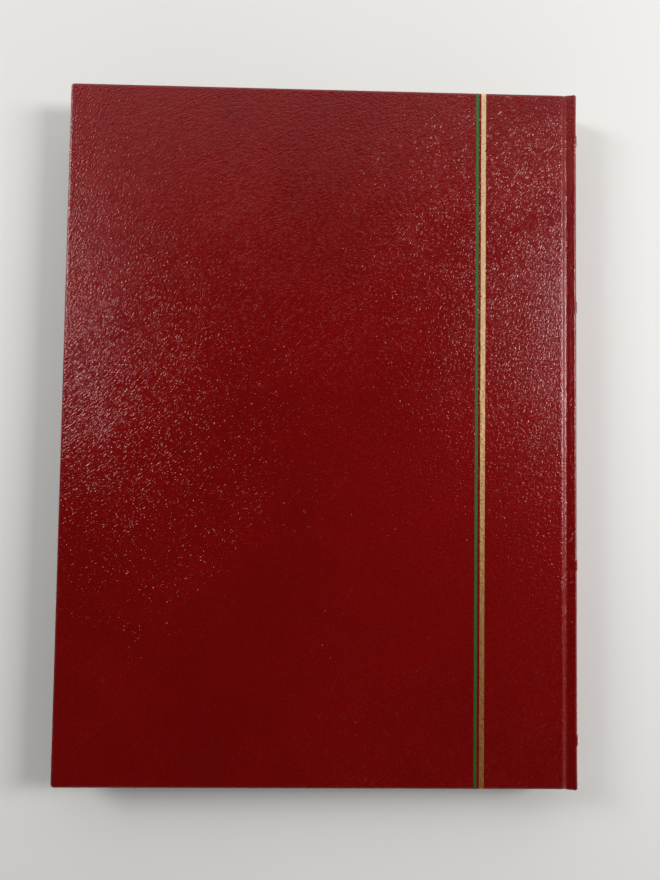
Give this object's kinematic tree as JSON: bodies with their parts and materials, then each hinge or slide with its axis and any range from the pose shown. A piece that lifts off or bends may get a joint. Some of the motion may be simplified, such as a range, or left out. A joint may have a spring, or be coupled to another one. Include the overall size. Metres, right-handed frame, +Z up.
{
  "type": "stamp album",
  "caption": "Closed hard-bound stamp album with grained covers, foil lines, raised spine bands and turning pocketed leaves.",
  "frame": {"origin": "middle of the album's underside, which is the outer face of its front cover", "axes": "+X from the fore-edge to the spine, +Y from tail to head, +Z up, through the thickness from the front cover to the back cover"},
  "size_m": [0.229, 0.3112, 0.02],
  "materials": {
    "leatherette": "glossy grained",
    "gold_foil": "satin foil",
    "green_foil": "satin foil",
    "greyboard": "matt",
    "endpaper": "matt",
    "black_card": "matt",
    "clear_film": "clear gloss",
    "glassine": "translucent",
    "linen": "woven",
    "headband_silk": "woven",
    "kraft": "matt",
    "guard_card": "matt"
  },
  "bodies": {
    "spine_and_block": {"back_flyleaf_hinge": "endpaper", "back_inner_joint": "endpaper", "back_joint_leatherette": "leatherette", "binding_guards": "guard_card", "front_flyleaf": "endpaper", "front_inner_joint": "endpaper", "front_joint_leatherette": "leatherette", "headband": "headband_silk", "spine_bands": "leatherette", "spine_board": "greyboard", "spine_gold_lines": "gold_foil", "spine_green_lines": "green_foil", "spine_leatherette": "leatherette", "spine_lining": "kraft", "tailband": "headband_silk", "linen_hinge_1": "linen", "linen_hinge_2": "linen", "linen_hinge_3": "linen", "linen_hinge_4": "linen", "linen_hinge_5": "linen", "linen_hinge_6": "linen", "linen_hinge_7": "linen", "linen_hinge_8": "linen"},
    "back_cover": {"back_leatherette": "leatherette", "back_board": "greyboard", "back_pastedown": "endpaper", "back_green_line": "green_foil", "back_gold_line": "gold_foil"},
    "front_cover": {"front_leatherette": "leatherette", "front_board": "greyboard", "front_pastedown": "endpaper", "front_green_line": "green_foil", "front_gold_line": "gold_foil"},
    "back_flyleaf": {"back_flyleaf": "endpaper"},
    "leaf_1": {"leaf_card_1": "black_card", "pocket_strips_1": "clear_film", "interleaf_1": "glassine"},
    "leaf_2": {"leaf_card_2": "black_card", "pocket_strips_2": "clear_film", "interleaf_2": "glassine"},
    "leaf_3": {"leaf_card_3": "black_card", "pocket_strips_3": "clear_film", "interleaf_3": "glassine"},
    "leaf_4": {"leaf_card_4": "black_card", "pocket_strips_4": "clear_film", "interleaf_4": "glassine"},
    "leaf_5": {"leaf_card_5": "black_card", "pocket_strips_5": "clear_film", "interleaf_5": "glassine"},
    "leaf_6": {"leaf_card_6": "black_card", "pocket_strips_6": "clear_film", "interleaf_6": "glassine"},
    "leaf_7": {"leaf_card_7": "black_card", "pocket_strips_7": "clear_film", "interleaf_7": "glassine"},
    "leaf_8": {"leaf_card_8": "black_card", "pocket_strips_8": "clear_film", "interleaf_8": "glassine"}
  },
  "joints": [
    {"name": "back_cover_hinge", "type": "hinge", "parent": "spine_and_block", "child": "back_cover", "pos_m": [0.11202, 0, 0.0168], "axis": [0, 1, 0], "range_deg": [0, 180], "deforming": ["back_joint_leatherette", "back_inner_joint"]},
    {"name": "front_cover_hinge", "type": "hinge", "parent": "spine_and_block", "child": "front_cover", "pos_m": [0.11202, 0, 0.0032], "axis": [0, -1, 0], "range_deg": [0, 180], "deforming": ["front_joint_leatherette", "front_inner_joint"]},
    {"name": "back_flyleaf_turn", "type": "hinge", "parent": "spine_and_block", "child": "back_flyleaf", "pos_m": [0.09703, 0, 0.0166], "axis": [0, 1, 0], "range_deg": [0, 165], "deforming": ["back_flyleaf_hinge"]},
    {"name": "leaf_1_turn", "type": "hinge", "parent": "spine_and_block", "child": "leaf_1", "pos_m": [0.09703, 0, 0.0044], "axis": [0, 1, 0], "range_deg": [0, 18.33], "deforming": ["linen_hinge_1"]},
    {"name": "leaf_2_turn", "type": "hinge", "parent": "spine_and_block", "child": "leaf_2", "pos_m": [0.09703, 0, 0.006], "axis": [0, 1, 0], "range_deg": [0, 36.67], "deforming": ["linen_hinge_2"]},
    {"name": "leaf_3_turn", "type": "hinge", "parent": "spine_and_block", "child": "leaf_3", "pos_m": [0.09703, 0, 0.0076], "axis": [0, 1, 0], "range_deg": [0, 55], "deforming": ["linen_hinge_3"]},
    {"name": "leaf_4_turn", "type": "hinge", "parent": "spine_and_block", "child": "leaf_4", "pos_m": [0.09703, 0, 0.0092], "axis": [0, 1, 0], "range_deg": [0, 73.33], "deforming": ["linen_hinge_4"]},
    {"name": "leaf_5_turn", "type": "hinge", "parent": "spine_and_block", "child": "leaf_5", "pos_m": [0.09703, 0, 0.0108], "axis": [0, 1, 0], "range_deg": [0, 91.67], "deforming": ["linen_hinge_5"]},
    {"name": "leaf_6_turn", "type": "hinge", "parent": "spine_and_block", "child": "leaf_6", "pos_m": [0.09703, 0, 0.0124], "axis": [0, 1, 0], "range_deg": [0, 110], "deforming": ["linen_hinge_6"]},
    {"name": "leaf_7_turn", "type": "hinge", "parent": "spine_and_block", "child": "leaf_7", "pos_m": [0.09703, 0, 0.014], "axis": [0, 1, 0], "range_deg": [0, 128.33], "deforming": ["linen_hinge_7"]},
    {"name": "leaf_8_turn", "type": "hinge", "parent": "spine_and_block", "child": "leaf_8", "pos_m": [0.09703, 0, 0.0156], "axis": [0, 1, 0], "range_deg": [0, 146.67], "deforming": ["linen_hinge_8"]}
  ],
  "couplings": [
    {"joint": "back_flyleaf_turn", "follows": "back_cover_hinge", "ratio": 0.91667},
    {"joint": "leaf_1_turn", "follows": "back_cover_hinge", "ratio": 0.10185},
    {"joint": "leaf_2_turn", "follows": "back_cover_hinge", "ratio": 0.2037},
    {"joint": "leaf_3_turn", "follows": "back_cover_hinge", "ratio": 0.30556},
    {"joint": "leaf_4_turn", "follows": "back_cover_hinge", "ratio": 0.40741},
    {"joint": "leaf_5_turn", "follows": "back_cover_hinge", "ratio": 0.50926},
    {"joint": "leaf_6_turn", "follows": "back_cover_hinge", "ratio": 0.61111},
    {"joint": "leaf_7_turn", "follows": "back_cover_hinge", "ratio": 0.71296},
    {"joint": "leaf_8_turn", "follows": "back_cover_hinge", "ratio": 0.81481}
  ]
}
